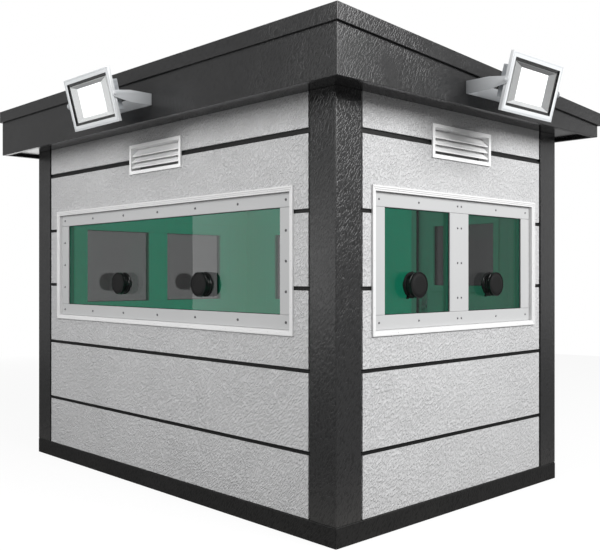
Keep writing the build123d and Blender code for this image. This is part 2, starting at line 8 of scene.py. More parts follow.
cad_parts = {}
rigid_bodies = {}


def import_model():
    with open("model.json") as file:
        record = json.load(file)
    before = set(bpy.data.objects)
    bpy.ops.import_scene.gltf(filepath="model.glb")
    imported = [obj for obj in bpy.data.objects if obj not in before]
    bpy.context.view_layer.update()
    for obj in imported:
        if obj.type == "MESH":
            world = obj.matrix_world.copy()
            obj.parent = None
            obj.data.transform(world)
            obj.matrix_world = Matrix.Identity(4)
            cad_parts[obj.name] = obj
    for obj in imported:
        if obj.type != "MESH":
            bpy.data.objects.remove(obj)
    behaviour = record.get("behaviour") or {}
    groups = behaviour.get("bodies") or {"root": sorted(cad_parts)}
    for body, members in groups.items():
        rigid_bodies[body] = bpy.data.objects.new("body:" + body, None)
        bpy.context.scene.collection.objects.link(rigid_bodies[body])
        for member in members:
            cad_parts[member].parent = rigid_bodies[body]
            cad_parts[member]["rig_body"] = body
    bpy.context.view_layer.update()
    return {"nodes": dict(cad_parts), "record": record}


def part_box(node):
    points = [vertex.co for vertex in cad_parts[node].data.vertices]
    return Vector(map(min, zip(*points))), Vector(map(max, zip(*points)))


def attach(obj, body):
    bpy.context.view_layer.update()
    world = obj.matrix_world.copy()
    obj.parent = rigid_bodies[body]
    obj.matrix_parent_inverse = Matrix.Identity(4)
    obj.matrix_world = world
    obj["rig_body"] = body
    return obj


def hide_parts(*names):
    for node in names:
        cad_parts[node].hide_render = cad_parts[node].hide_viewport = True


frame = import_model()
print("frame loaded:", len(frame["nodes"]), "nodes")

mm = 0.001
sides = ("front", "right", "back", "left")
longSides = ("front", "back")
bodyOf = {name: node["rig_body"] for name, node in frame["nodes"].items()}
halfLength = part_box("corner_post_front_right")[1].x
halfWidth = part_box("corner_post_back_right")[1].y
wallTurns = {"front": 0, "right": 90, "back": 180, "left": 270}
wallFeet = {
    "front": (0, -halfWidth, 0),
    "right": (halfLength, 0, 0),
    "back": (0, halfWidth, 0),
    "left": (-halfLength, 0, 0),
}


# Places

def wallPlace(side):
    # x along the wall seen from outside, y inwards from the posts' face, z up
    return Matrix.Translation(wallFeet[side]) @ Matrix.Rotation(radians(wallTurns[side]), 4, "Z")


def facingOut(side):
    return wallPlace(side).to_3x3() @ Vector((0, -1, 0))


def boxIn(place, nodeName):
    # A node's lowest and highest corners in a wall's own frame
    toWall = place.inverted()
    ends = [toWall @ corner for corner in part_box(nodeName)]
    low = Vector([min(ends[0][axis], ends[1][axis]) for axis in range(3)])
    high = Vector([max(ends[0][axis], ends[1][axis]) for axis in range(3)])
    return low, high


# Node helpers

socketKinds = {
    "number": "NodeSocketFloat",
    "colour": "NodeSocketColor",
    "shape": "NodeSocketGeometry",
    "material": "NodeSocketMaterial",
}


def newGroup(name, kind, inputs, outputs):
    # inputs are (name, kind, value) rows, where the value may be left out, and outputs (name, kind) rows
    group = bpy.data.node_groups.new(name, kind)
    for title, socketKind, *value in inputs:
        socket = group.interface.new_socket(name=title, in_out="INPUT", socket_type=socketKinds[socketKind])
        if value:
            socket.default_value = value[0]
    for title, socketKind in outputs:
        group.interface.new_socket(name=title, in_out="OUTPUT", socket_type=socketKinds[socketKind])
    return group, nodeIn(group, "NodeGroupInput"), nodeIn(group, "NodeGroupOutput")


def nodeIn(tree, kind, **settings):
    node = tree.nodes.new(kind)
    for name, value in settings.items():
        setattr(node, name, value)
    return node


def feed(tree, socket, value):
    # A link, or a plain value on the socket
    if isinstance(value, bpy.types.NodeSocket):
        tree.links.new(value, socket)
    else:
        socket.default_value = value


def objectPlace(tree):
    return nodeIn(tree, "ShaderNodeTexCoord").outputs["Object"]


def split(tree, vector):
    node = nodeIn(tree, "ShaderNodeSeparateXYZ")
    feed(tree, node.inputs[0], vector)
    return node.outputs


def join(tree, x, y, z):
    node = nodeIn(tree, "ShaderNodeCombineXYZ")
    for socket, value in zip(node.inputs, (x, y, z)):
        feed(tree, socket, value)
    return node.outputs[0]


def maths(tree, operation, a, b, clamp=False):
    node = nodeIn(tree, "ShaderNodeMath", operation=operation, use_clamp=clamp)
    feed(tree, node.inputs[0], a)
    feed(tree, node.inputs[1], b)
    return node.outputs[0]


def mixColour(tree, factor, a, b):
    node = nodeIn(tree, "ShaderNodeMix", data_type="RGBA")
    feed(tree, node.inputs["Factor"], factor)
    feed(tree, node.inputs[6], a)  # the colour sockets come after those for numbers and vectors
    feed(tree, node.inputs[7], b)
    return node.outputs[2]


def ramp(tree, value, low, high):
    # 0 at low and 1 at high, with soft ends
    node = nodeIn(tree, "ShaderNodeMapRange", interpolation_type="SMOOTHSTEP")
    feed(tree, node.inputs["Value"], value)
    feed(tree, node.inputs["From Min"], low)
    feed(tree, node.inputs["From Max"], high)
    return node.outputs["Result"]


def noise(tree, place, scale, detail, distortion=0.0):
    node = nodeIn(tree, "ShaderNodeTexNoise")
    feed(tree, node.inputs["Vector"], place)
    feed(tree, node.inputs["Scale"], scale)
    feed(tree, node.inputs["Detail"], detail)
    feed(tree, node.inputs["Distortion"], distortion)
    return node.outputs[0]


# Shared effects

pattern = {
    "pebbleDetail": 1.5,
    "pebbleDistortion": 0.25,
    "pebbleDrift": 0.35,  # how fast the pebbles change with depth
    "raised": (0.38, 0.62),
    # the hollows' painted shade, from where it starts to where it is full
    "hollow": (0.52, 0.34),
    "patchScale": 4.5,
    "patchDetail": 1.0,
    "grainDetail": 2.0,
    "cloudScale": 1.7,
    "cloudDetail": 4.0,
    "dustColour": (0.33, 0.31, 0.28, 1),
}


def makeRelief():
    # Embossed sheet: streaky pebbles that lean one way, in patches of changing strength
    inputs = [
        ("Scale", "number", 60.0),
        ("Stretch", "number", 2.5),
        ("Lean", "number", 1.0),
        ("Patches", "number", 0.5),
    ]
    outputs = [("Height", "number"), ("Hollow Shade", "number")]
    group, inside, outside = newGroup("embossed relief", "ShaderNodeTree", inputs, outputs)
    place = objectPlace(group)
    spot = split(group, place)
    along = maths(group, "ADD", spot[0], spot[1])
    across = maths(group, "SUBTRACT", spot[0], spot[1])
    turned = nodeIn(group, "ShaderNodeVectorRotate", rotation_type="Z_AXIS")
    feed(group, turned.inputs["Vector"], join(group, along, spot[2], 0.0))
    feed(group, turned.inputs["Angle"], inside.outputs["Lean"])
    leaning = split(group, turned.outputs[0])
    streak = maths(group, "DIVIDE", leaning[0], inside.outputs["Stretch"])
    drift = maths(group, "MULTIPLY", across, pattern["pebbleDrift"])
    stretched = join(group, streak, leaning[1], drift)
    detail, distortion = pattern["pebbleDetail"], pattern["pebbleDistortion"]
    pebbles = noise(group, stretched, inside.outputs["Scale"], detail, distortion)
    patches = noise(group, place, pattern["patchScale"], pattern["patchDetail"])
    weak = maths(group, "MULTIPLY", patches, inside.outputs["Patches"])
    kept = maths(group, "SUBTRACT", 1.0, weak)
    raised = ramp(group, pebbles, *pattern["raised"])
    feed(group, outside.inputs["Height"], maths(group, "MULTIPLY", raised, kept))
    # The second output masks the pebbles' hollows, which the paints darken as painted shade
    feed(group, outside.inputs["Hollow Shade"], ramp(group, pebbles, *pattern["hollow"]))
    return group


def makeGrain():
    # Fine spray texture of powder coat or moulded plastic
    inputs = [("Scale", "number", 900.0)]
    group, inside, outside = newGroup("fine grain", "ShaderNodeTree", inputs, [("Height", "number")])
    spray = noise(group, objectPlace(group), inside.outputs["Scale"], pattern["grainDetail"])
    feed(group, outside.inputs["Height"], spray)
    return group


def makeTone():
    # Slow change of tone over a surface, and a little dust near the ground
    inputs = [
        ("Colour", "colour", (0.5, 0.5, 0.5, 1)),
        ("Change", "number", 0.06),
        ("Dust", "number", 0.1),
        ("Dust Height", "number", 0.5),
    ]
    outputs = [("Colour", "colour"), ("Dulling", "number")]
    group, inside, outside = newGroup("tone and dust", "ShaderNodeTree", inputs, outputs)
    place = objectPlace(group)
    clouds = noise(group, place, pattern["cloudScale"], pattern["cloudDetail"])
    shade = maths(group, "SUBTRACT", 1.0, maths(group, "MULTIPLY", clouds, inside.outputs["Change"]))
    toned = nodeIn(group, "ShaderNodeVectorMath", operation="SCALE")
    feed(group, toned.inputs[0], inside.outputs["Colour"])
    feed(group, toned.inputs["Scale"], shade)
    rise = maths(group, "DIVIDE", split(group, place)[2], inside.outputs["Dust Height"])
    low = maths(group, "SUBTRACT", 1.0, rise, True)
    speckle = maths(group, "MULTIPLY", maths(group, "MULTIPLY", low, low), clouds)
    dust = maths(group, "MULTIPLY", speckle, inside.outputs["Dust"], True)
    feed(group, outside.inputs["Colour"], mixColour(group, dust, toned.outputs[0], pattern["dustColour"]))
    feed(group, outside.inputs["Dulling"], dust)
    return group


effects = {"relief": makeRelief(), "grain": makeGrain(), "tone": makeTone()}


# Materials

def emptyMaterial(name):
    material = bpy.data.materials.new(name)
    material.use_nodes = True
    tree = material.node_tree
    tree.nodes.clear()
    shader = nodeIn(tree, "ShaderNodeBsdfPrincipled")
    surface = nodeIn(tree, "ShaderNodeOutputMaterial")
    tree.links.new(shader.outputs[0], surface.inputs["Surface"])
    return material, tree, shader


def groupIn(tree, name, **values):
    node = nodeIn(tree, "ShaderNodeGroup", node_tree=effects[name])
    for key, value in values.items():
        feed(tree, node.inputs[key], value)
    return node


def paint(name, colour, roughness, relief=None, grain=None, metallic=0.0, specular=0.5, dust=0.15,
          change=0.08, hollowShade=0.0):
    # One texture each: relief is (the group's values, depth), grain is (scale, depth), depths in metres
    material, tree, shader = emptyMaterial(name)
    tone = groupIn(tree, "tone", Colour=(*colour, 1), Change=change, Dust=dust)
    base = tone.outputs["Colour"]
    if relief:
        values, depth = relief
        texture = groupIn(tree, "relief", **values)
        # Painted shade: the relief's hollows darken the base colour
        dark = maths(tree, "MULTIPLY", texture.outputs["Hollow Shade"], hollowShade)
        base = mixColour(tree, dark, base, (0, 0, 0, 1))
    else:
        scale, depth = grain
        texture = groupIn(tree, "grain", Scale=scale)
    bump = nodeIn(tree, "ShaderNodeBump")
    bump.inputs["Strength"].default_value = 1.0
    bump.inputs["Distance"].default_value = depth
    feed(tree, bump.inputs["Height"], texture.outputs["Height"])
    feed(tree, shader.inputs["Normal"], bump.outputs[0])
    feed(tree, shader.inputs["Base Color"], base)
    feed(tree, shader.inputs["Roughness"], maths(tree, "ADD", tone.outputs["Dulling"], roughness, True))
    shader.inputs["Metallic"].default_value = metallic
    shader.inputs["Specular IOR Level"].default_value = specular
    return material


def clearGlass(name, colour):
    material, tree, shader = emptyMaterial(name)
    tone = groupIn(tree, "tone", Colour=(*colour, 1), Change=0.03, Dust=0.0)
    feed(tree, shader.inputs["Base Color"], tone.outputs["Colour"])
    shader.inputs["Roughness"].default_value = 0.0
    shader.inputs["IOR"].default_value = 1.4
    shader.inputs["Transmission Weight"].default_value = 1.0
    return material


def glow(tree, shader, colour, strength, roughness):
    # Painted glow: the surface shines with a little light of its own colour
    feed(tree, shader.inputs["Base Color"], colour)
    feed(tree, shader.inputs["Emission Color"], colour)
    shader.inputs["Emission Strength"].default_value = strength
    shader.inputs["Roughness"].default_value = roughness


panelFinish = {
    "colour": (0.9, 0.9, 0.9, 1),
    "jointColour": (0.90, 0.90, 0.91, 1),
    "strip": 42.5 * mm,
    "joint": 2.5 * mm,
}
# Painted shade and glow of the floodlights' trays: shadeColour where the frame shades the tray, and a glow
# that stands in for the light falling on it
trayFinish = {
    "colour": (0.80, 0.80, 0.80, 1),
    "shadeColour": (0.05, 0.05, 0.05, 1),
    "glow": 0.36,
    "roughness": 0.4,
}


def lightPanel(name):
    # Diffusing panel with faint joints between its strips of light
    material, tree, shader = emptyMaterial(name)
    shader.inputs["Base Color"].default_value = panelFinish["colour"]
    shader.inputs["Roughness"].default_value = 0.4
    shader.inputs["Emission Strength"].default_value = 1.0
    spot = split(tree, objectPlace(tree))
    wave = maths(tree, "PINGPONG", maths(tree, "ADD", spot[0], spot[1]), panelFinish["strip"])
    line = ramp(tree, wave, 0.0, panelFinish["joint"])
    lit = mixColour(tree, line, panelFinish["jointColour"], (1, 1, 1, 1))
    feed(tree, shader.inputs["Emission Color"], lit)
    return material


def shadedGlowingTray(name):
    # Painted shade: the tray is darker on the side that its frame shades, which the mesh gives as "shade". It
    # also has a painted glow
    material, tree, shader = emptyMaterial(name)
    shade = nodeIn(tree, "ShaderNodeAttribute", attribute_name="shade").outputs["Fac"]
    tone = groupIn(tree, "tone", Colour=trayFinish["colour"], Change=0.04, Dust=0.0)
    colour = mixColour(tree, shade, trayFinish["shadeColour"], tone.outputs["Colour"])
    glow(tree, shader, colour, trayFinish["glow"], trayFinish["roughness"])
    return material


def paintedGlowEdge(name, colour, strength):
    # Painted glow: the surface shines green with no lamp behind it, standing in for light carried inside the
    # thick glass at its covered edges
    material, tree, shader = emptyMaterial(name)
    tone = groupIn(tree, "tone", Colour=(*colour, 1), Change=0.1, Dust=0.0)
    glow(tree, shader, tone.outputs["Colour"], strength, 0.6)
    return material


leaning = {"Stretch": 3.0, "Lean": radians(-52)}
wallRelief = {"Scale": 132.0, "Patches": 0.5, **leaning}, 6.0 * mm
darkRelief = {"Scale": 112.0, "Patches": 0.8, **leaning}, 0.9 * mm
roofRelief = {"Scale": 120.0, "Patches": 1.1, **leaning}, 0.78 * mm
fineCoat = (900.0, 0.05 * mm)
finish = {
    "boards": paint("light board paint", (0.54, 0.54, 0.545), 0.5, wallRelief, hollowShade=0.08),
    "posts": paint("dark post paint", (0.020, 0.020, 0.0205), 0.25, darkRelief, hollowShade=0.4),
    "roof": paint("dark roof paint", (0.020, 0.020, 0.0205), 0.25, roofRelief, hollowShade=0.4),
    "base": paint("base paint", (0.010, 0.010, 0.0102), 0.5, darkRelief, specular=0.2, dust=0.04,
                  hollowShade=0.45),
    "groove": paint("groove strip", (0.005, 0.005, 0.005), 0.5, darkRelief, specular=0.25, dust=0.03),
    "soffit": paint("soffit paint", (0.022, 0.022, 0.0225), 0.16, grain=(500.0, 0.05 * mm)),
    "white": paint("white frame paint", (0.65, 0.65, 0.65), 0.5, grain=fineCoat, change=0.04, specular=0.35),
    "clamp": paint("clamp bar paint", (0.44, 0.443, 0.445), 0.6, grain=fineCoat, change=0.05, specular=0.3),
    "vent": paint("vent paint", (0.90, 0.90, 0.90), 0.45, grain=fineCoat, change=0.04),
    "port": paint("port black", (0.005, 0.006, 0.006), 0.18, grain=(1200.0, 0.02 * mm), specular=0.6),
    "portFace": paint("port face", (0.006, 0.006, 0.006), 0.55, grain=(1500.0, 0.05 * mm), specular=0.18),
    # painted glow on the opening edges
    "revealGlow": paintedGlowEdge("opening edges painted glow", (0.04, 0.34, 0.21), 0.22),
    "doorLining": paint("door lining", (0.13, 0.56, 0.40), 0.6, grain=(600.0, 0.2 * mm)),
    "seal": paint("black seal", (0.008, 0.008, 0.008), 0.7, grain=(700.0, 0.1 * mm), specular=0.2),
    "lining": paint("wall lining", (0.05, 0.80, 0.53), 0.6, grain=(600.0, 0.2 * mm), specular=0.2),
    "door": paint("door paint", (0.54, 0.54, 0.545), 0.5, wallRelief, hollowShade=0.08),
    "floor": paint("floor covering", (0.20, 0.22, 0.21), 0.6, grain=(1500.0, 0.2 * mm), change=0.2),
    "bracket": paint("bracket paint", (0.50, 0.515, 0.53), 0.36, grain=fineCoat),
    "lampWhite": paint("lamp frame paint", (0.60, 0.615, 0.625), 0.35, grain=(900.0, 0.04 * mm), change=0.03),
    "lampBody": paint("lamp body paint", (0.40, 0.42, 0.44), 0.45, grain=(700.0, 0.1 * mm)),
    "reflector": shadedGlowingTray("reflector tray painted shade and glow"),
    # dark metal heads, made darker than the bars they hold as painted shade of their domes
    "screw": paint("screw heads painted shade", (0.13, 0.13, 0.135), 0.35, grain=(1500.0, 0.03 * mm), metallic=0.5),
    "screen": paint("vent screen", (0.22, 0.22, 0.22), 0.7, grain=(700.0, 0.2 * mm)),
    "steel": paint("handle steel", (0.55, 0.55, 0.56), 0.3, grain=(1500.0, 0.03 * mm), metallic=1.0),
    "glass": clearGlass("tinted glass", (0.34, 0.345, 0.345)),
    "sideGlass": clearGlass("side window glass", (0.34, 0.345, 0.345)),
    "doorGlass": clearGlass("door glass", (0.13, 0.135, 0.135)),
    "lens": clearGlass("lamp lens", (0.96, 0.97, 0.97)),
    "light": lightPanel("light panel"),
    # painted glow on the faces against the glass
    "paintedGlowEdge": paintedGlowEdge("glass edge painted glow", (0.01, 0.30, 0.17), 0.6),
}
print("materials made:", len(finish))


# Mesh helpers

rounding = {"merge": 0.01 * mm, "flatAngle": radians(0.5), "edgeAngle": radians(30)}


def addProfile(bm, place, profile, x0, x1):
    # A closed outline of (y, z) drawn along x
    near, far = [[bm.verts.new(place @ Vector((x, y, z))) for y, z in profile] for x in (x0, x1)]
    bm.faces.new(near)
    bm.faces.new(list(reversed(far)))
    for index in range(len(profile)):
        after = (index + 1) % len(profile)
        bm.faces.new((near[after], near[index], far[index], far[after]))


def addBox(bm, place, low, high):
    profile = [(low[1], low[2]), (high[1], low[2]), (high[1], high[2]), (low[1], high[2])]
    addProfile(bm, place, profile, low[0], high[0])


def addFrame(bm, place, middle, outer, inner, y0, y1):
    # A flat rectangular ring, outer and inner being half sizes
    loops = []
    for (halfX, halfZ), y in ((outer, y0), (inner, y0), (inner, y1), (outer, y1)):
        loop = []
        for signX, signZ in ((-1, -1), (1, -1), (1, 1), (-1, 1)):
            corner = Vector((middle[0] + signX * halfX, y, middle[1] + signZ * halfZ))
            loop.append(bm.verts.new(place @ corner))
        loops.append(loop)
    for index, near in enumerate(loops):
        far = loops[(index + 1) % 4]
        for corner in range(4):
            after = (corner + 1) % 4
            bm.faces.new((near[corner], near[after], far[after], far[corner]))


def addLathe(bm, place, profile, steps):
    # An outline of (radius, height) turned about z. It starts and ends on the axis
    rings = []
    for radius, height in profile:
        ring = []
        for step in range(steps if radius else 1):
            angle = 2 * pi * step / steps
            ring.append(bm.verts.new(place @ Vector((radius * cos(angle), radius * sin(angle), height))))
        rings.append(ring)
    for lower, upper in zip(rings, rings[1:]):
        for step in range(steps):
            after = (step + 1) % steps
            corners = [lower[step % len(lower)], lower[after % len(lower)]]
            corners += [upper[after % len(upper)], upper[step % len(upper)]]
            bm.faces.new(list(dict.fromkeys(corners)))  # three corners where a ring is the axis


def shadeSmooth(mesh, angle):
    mesh.shade_smooth()
    mesh.set_sharp_from_angle(angle=radians(angle))


def pieceFrom(mesh, name, material, body):
    mesh.materials.clear()
    mesh.materials.append(material)
    piece = bpy.data.objects.new(name, mesh)
    bpy.context.scene.collection.objects.link(piece)
    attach(piece, body)
    return piece


def finishMesh(bm, name):
    # The bmesh as a mesh, with its faces pointing outwards
    bmesh.ops.recalc_face_normals(bm, faces=bm.faces)
    mesh = bpy.data.meshes.new(name)
    bm.to_mesh(mesh)
    bm.free()
    return mesh


def builtPiece(bm, name, material, body):
    return pieceFrom(finishMesh(bm, name), name, material, body)


def withModifier(mesh, kind):
    # A passing object that carries the mesh and one modifier
    item = bpy.data.objects.new(mesh.name, mesh)
    bpy.context.scene.collection.objects.link(item)
    return item, item.modifiers.new("shape", kind)


def appliedMesh(item):
    # The object's mesh with its modifier applied. The object itself isn't kept
    bpy.context.view_layer.update()
    depsgraph = bpy.context.evaluated_depsgraph_get()
    mesh = bpy.data.meshes.new_from_object(item.evaluated_get(depsgraph))
    bpy.data.objects.remove(item)
    return mesh


def softCopy(nodeName, material, width, segments=2, smoothAngle=None):
    # A copy of a CAD node with its edges rounded over, which stands for it
    bm = bmesh.new()
    bm.from_mesh(frame["nodes"][nodeName].data)
    bmesh.ops.remove_doubles(bm, verts=bm.verts, dist=rounding["merge"])
    bmesh.ops.dissolve_limit(bm, angle_limit=rounding["flatAngle"], verts=bm.verts, edges=bm.edges)
    mesh = bpy.data.meshes.new(f"{nodeName}_soft")
    bm.to_mesh(mesh)
    bm.free()
    item, bevel = withModifier(mesh, "BEVEL")
    bevel.width = width
    bevel.segments = segments
    bevel.limit_method = "ANGLE"
    bevel.angle_limit = rounding["edgeAngle"]
    rounded = appliedMesh(item)
    if smoothAngle:
        shadeSmooth(rounded, smoothAngle)
    piece = pieceFrom(rounded, f"{nodeName}_soft", material, bodyOf[nodeName])
    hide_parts(nodeName)
    return piece


# Fasteners

screwShape = {
    "corners": 12,
    "rises": ((0.45, 0.92), (0.40, 0.75), (0.15, 0.42)),  # share of the height, and what is left of the top
    "recessSize": 0.9,
    "seed": 7,
}


def makeScrewTree():
    # Screws on the points of a mesh, each facing along the point's own direction
    inputs = [
        ("Geometry", "shape"),
        ("Head Radius", "number", 0.007),
        ("Head Height", "number", 0.003),
        ("Recess Depth", "number", 0.002),
        ("Finish", "material"),
    ]
    tree, inside, outside = newGroup("screw rows", "GeometryNodeTree", inputs, [("Geometry", "shape")])
    disc = nodeIn(tree, "GeometryNodeMeshCircle", fill_type="NGON")
    disc.inputs["Vertices"].default_value = screwShape["corners"]
    feed(tree, disc.inputs["Radius"], inside.outputs["Head Radius"])
    shape, top = disc.outputs["Mesh"], None
    for share, size in screwShape["rises"]:
        rise = maths(tree, "MULTIPLY", inside.outputs["Head Height"], share)
        shape, top = extrudeTop(tree, shape, top, rise, size)
    down = maths(tree, "MULTIPLY", inside.outputs["Recess Depth"], -1.0)
    shape, top = extrudeTop(tree, shape, top, down, screwShape["recessSize"])
    facing = nodeIn(tree, "GeometryNodeInputNamedAttribute", data_type="FLOAT_VECTOR")
    facing.inputs["Name"].default_value = "facing"
    aim = nodeIn(tree, "FunctionNodeAlignRotationToVector", axis="Z")
    feed(tree, aim.inputs["Vector"], facing.outputs[0])
    spread = nodeIn(tree, "GeometryNodeInstanceOnPoints")
    feed(tree, spread.inputs["Points"], inside.outputs["Geometry"])
    feed(tree, spread.inputs["Instance"], shape)
    feed(tree, spread.inputs["Rotation"], aim.outputs[0])
    spin = nodeIn(tree, "FunctionNodeRandomValue", data_type="FLOAT")
    spin.inputs[2].default_value = 0.0  # least turn
    spin.inputs[3].default_value = 2 * pi  # most turn
    spin.inputs["Seed"].default_value = screwShape["seed"]
    turn = nodeIn(tree, "GeometryNodeRotateInstances")
    feed(tree, turn.inputs["Instances"], spread.outputs[0])
    feed(tree, turn.inputs["Rotation"], join(tree, 0.0, 0.0, spin.outputs[1]))
    turn.inputs["Local Space"].default_value = True
    real = nodeIn(tree, "GeometryNodeRealizeInstances")
    feed(tree, real.inputs[0], turn.outputs[0])
    coat = nodeIn(tree, "GeometryNodeSetMaterial")
    feed(tree, coat.inputs["Geometry"], real.outputs[0])
    feed(tree, coat.inputs["Material"], inside.outputs["Finish"])
    feed(tree, outside.inputs["Geometry"], coat.outputs[0])
    return tree


def extrudeTop(tree, shape, top, rise, size):
    # Raises the top face and makes it smaller
    pull = nodeIn(tree, "GeometryNodeExtrudeMesh", mode="FACES")
    feed(tree, pull.inputs["Mesh"], shape)
    if top is not None:
        feed(tree, pull.inputs["Selection"], top)
    feed(tree, pull.inputs["Offset Scale"], rise)
    shrink = nodeIn(tree, "GeometryNodeScaleElements", domain="FACE")
    feed(tree, shrink.inputs["Geometry"], pull.outputs["Mesh"])
    feed(tree, shrink.inputs["Selection"], pull.outputs["Top"])
    shrink.inputs["Scale"].default_value = size
    return shrink.outputs[0], pull.outputs["Top"]


screwTree = makeScrewTree()


def screws(name, spots, size, material):
    # spots are (place, facing) pairs in the booth's frame, and size is (radius, height, recess)
    mesh = bpy.data.meshes.new(name)
    mesh.from_pydata([tuple(place) for place, facing in spots], [], [])
    facings = mesh.attributes.new("facing", "FLOAT_VECTOR", "POINT")
    for index, (place, facing) in enumerate(spots):
        facings.data[index].vector = facing
    item, modifier = withModifier(mesh, "NODES")
    modifier.node_group = screwTree
    values = dict(zip(("Head Radius", "Head Height", "Recess Depth"), size), Finish=material)
    for entry in screwTree.interface.items_tree:
        if entry.in_out == "INPUT" and entry.name in values:
            modifier[entry.identifier] = values[entry.name]
    return pieceFrom(appliedMesh(item), name, material, "booth")


# Walls, posts, roof and base

# How wide the rounded edges are
edges = {
    "boards": 1.6 * mm,
    "posts": 2.0 * mm,
    "base": 2.0 * mm,
    "roof": 2.0 * mm,
    "vent": 0.3 * mm,
    "window": 0.8 * mm,
    "door": 1.2 * mm,
    "handle": 1.0 * mm,
    "lamp": 1.0 * mm,
    "lampBody": 0.4 * mm,
}
shell = {"roomDepth": 70 * mm}  # a post's faces deeper than this are inside the room


def makeShell():
    for side in sides:
        softCopy(f"{side}_boards", finish["boards"], edges["boards"])
    for across in ("front", "back"):
        for along in ("left", "right"):
            paintRoomFaces(softCopy(f"corner_post_{across}_{along}", finish["posts"], edges["posts"]))
    softCopy("base_frame", finish["base"], edges["base"])
    softCopy("roof_cap", finish["roof"], edges["roof"])
    softCopy("fascia_boards", finish["roof"], edges["roof"])


def paintRoomFaces(post):
    post.data.materials.append(finish["lining"])
    depth = shell["roomDepth"]
    for face in post.data.polygons:
        if abs(face.center.x) < halfLength - depth and abs(face.center.y) < halfWidth - depth:
            face.material_index = 1


makeShell()
print("shell done")


# Vents

vent = {
    "length": 540 * mm,
    "border": 20 * mm,
    "borderLap": 2 * mm,
    "screenDepth": 62 * mm,
    "screenThickness": 2 * mm,
    "screwInset": 10 * mm,
    "proud": 7 * mm,
    "screw": (3.2 * mm, 1.4 * mm, 0.8 * mm),
}


def ventBox(side):
    # The vent sits over the middle of its window
    low, high = boxIn(wallPlace(side), f"{side}_window_frame")
    bottom, top = [corner.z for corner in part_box("wall_vents")]
    middle = (low.x + high.x) / 2
    half = vent["length"] / 2
    return Vector((middle - half, 0, bottom)), Vector((middle + half, 0, top))


def makeVents():
    softCopy("wall_vents", finish["vent"], edges["vent"], 1)
    bm = bmesh.new()
    spots = []
    for side in sides:
        place = wallPlace(side)
        low, high = ventBox(side)
        inset = vent["border"] - vent["borderLap"]
        front = vent["screenDepth"]
        back = front + vent["screenThickness"]
        addBox(bm, place, (low.x + inset, front, low.z + inset), (high.x - inset, back, high.z - inset))
        inset = vent["screwInset"]
        for x in (low.x + inset, high.x - inset):
            for z in (low.z + inset, high.z - inset):
                spots.append((place @ Vector((x, -vent["proud"], z)), facingOut(side)))
    builtPiece(bm, "vent_screens", finish["screen"], "booth")
    screws("vent_screws", spots, vent["screw"], finish["vent"])


makeVents()
print("vents done")


# Dark strips in the grooves between the boards and beside the posts, and lips that narrow the grooves

groove = {
    "heights": (0.424, 0.821, 1.222, 1.600, 1.984),
    "width": 28 * mm,
    "back": 14.9 * mm,
    "plate": 1.0 * mm,
    "ribFront": 6.0 * mm,
    "ribLow": -13.4 * mm,
    "ribHigh": -1.0 * mm,
    "ribSlope": 0.6 * mm,
    "postFlange": 175 * mm,
    "tuck": 15 * mm,  # how far the strips run in under the window and the vent
    "endGap": 1 * mm,
    "doorGap": 14 * mm,
    "doorEdge": 0.2 * mm,
}
lip = {
    "front": 3.1 * mm,
    "back": 13.8 * mm,
    "low": 6 * mm,
    "high": 15.8 * mm,
    "chamfer": 1.2 * mm,
    "endGap": 0.5 * mm,
}


def doorSpan(place):
    # The outer edges of the jambs and the top of the head, without the hinges
    toWall = place.inverted()
    spots = [toWall @ vertex.co for vertex in frame["nodes"]["door_frame"].data.vertices]
    inner = [spot for spot in spots if spot.y > groove["back"]]
    return min(spot.x for spot in inner), max(spot.x for spot in inner), max(spot.z for spot in inner)


def cutSpan(spans, low, high):
    kept = []
    for a, b in spans:
        if high <= a or low >= b:
            kept.append((a, b))
            continue
        if a < low:
            kept.append((a, low))
        if high < b:
            kept.append((high, b))
    return kept


def addAlongGroove(bm, side, height, profile, reach, doorGap):
    # The profile along the stretches of a groove that the window, the vent and the door leave
    place = wallPlace(side)
    spans = [(-reach, reach)]
    for low, high in (boxIn(place, f"{side}_window_frame"), ventBox(side)):
        if low.z < height < high.z:
            spans = cutSpan(spans, low.x + groove["tuck"], high.x - groove["tuck"])
    if side == "back":
        left, right = doorSpan(place)[:2]
        spans = cutSpan(spans, left - doorGap, right + doorGap)
    for a, b in spans:
        addProfile(bm, place @ Matrix.Translation((0, 0, height)), profile, a, b)


def makeGrooves(side):
    place = wallPlace(side)
    low, high = boxIn(place, f"{side}_boards")
    reach = (halfLength if side in longSides else halfWidth) - groove["postFlange"]
    back = groove["back"]
    plate = back - groove["plate"]
    half = groove["width"] / 2
    profile = [
        (back, -half),
        (plate, -half),
        (groove["ribFront"], groove["ribLow"]),
        (groove["ribFront"], groove["ribHigh"]),
        (plate, groove["ribHigh"] + groove["ribSlope"]),
        (plate, half),
        (back, half),
    ]
    bm = bmesh.new()
    for height in groove["heights"]:
        addAlongGroove(bm, side, height, profile, reach, 0)
    for sign in (-1, 1):
        a, b = sorted((sign * reach, sign * (high.x - groove["endGap"])))
        addBox(bm, place, (a, plate, low.z), (b, back, high.z))
    if side == "back":
        left, right, head = doorSpan(place)
        gap, edge = groove["doorGap"], groove["doorEdge"]
        addBox(bm, place, (left - gap, plate, low.z), (left - edge, back, head + gap))
        addBox(bm, place, (right + edge, plate, low.z), (right + gap, back, head + gap))
        addBox(bm, place, (left, plate, head + edge), (right, back, head + gap))
    builtPiece(bm, f"{side}_groove_strips", finish["groove"], "booth")


